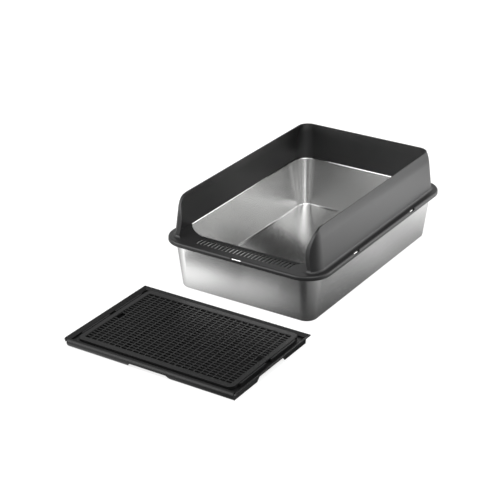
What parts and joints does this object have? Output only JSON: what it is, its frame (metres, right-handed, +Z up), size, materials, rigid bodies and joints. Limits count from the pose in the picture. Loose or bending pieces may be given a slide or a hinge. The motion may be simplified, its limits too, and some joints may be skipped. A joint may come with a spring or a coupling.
{
  "type": "open-top litter box with step tray",
  "caption": "Deep-drawn steel litter pan with a high-sided plastic frame dropped over its rim, a low front entry with a slotted sill, and a separate low step tray with a lift-out grille",
  "frame": {"origin": "on the floor, at the centre of the flat underside of the steel pan", "axes": "+Z up, +Y from the entry towards the back of the box (the tray stands on the -Y side), +X to the right as seen from the entry"},
  "size_m": [0.42, 0.925, 0.2136],
  "materials": {
    "steel": "satin stainless sheet, drawn and rolled at the rim",
    "frame_plastic": "moulded polypropylene, fine satin grain, charcoal",
    "tray_plastic": "moulded polypropylene, smooth satin, near black",
    "grille_plastic": "moulded polypropylene, smooth satin, near black"
  },
  "bodies": {
    "pan": {"pan": "steel"},
    "frame": {"frame": "frame_plastic"},
    "tray": {"tray": "tray_plastic"},
    "grille": {"grille": "grille_plastic"}
  },
  "joints": [
    {"name": "frame_lift", "type": "slide", "parent": "pan", "child": "frame", "axis": [0, 0, 1], "range_m": [0, 0.06]},
    {"name": "tray_slide", "type": "slide", "parent": "pan", "child": "tray", "axis": [0, 1, 0], "range_m": [-0.1, 0.06]},
    {"name": "grille_lift", "type": "slide", "parent": "tray", "child": "grille", "axis": [0, 0, 1], "range_m": [0, 0.04]}
  ]
}
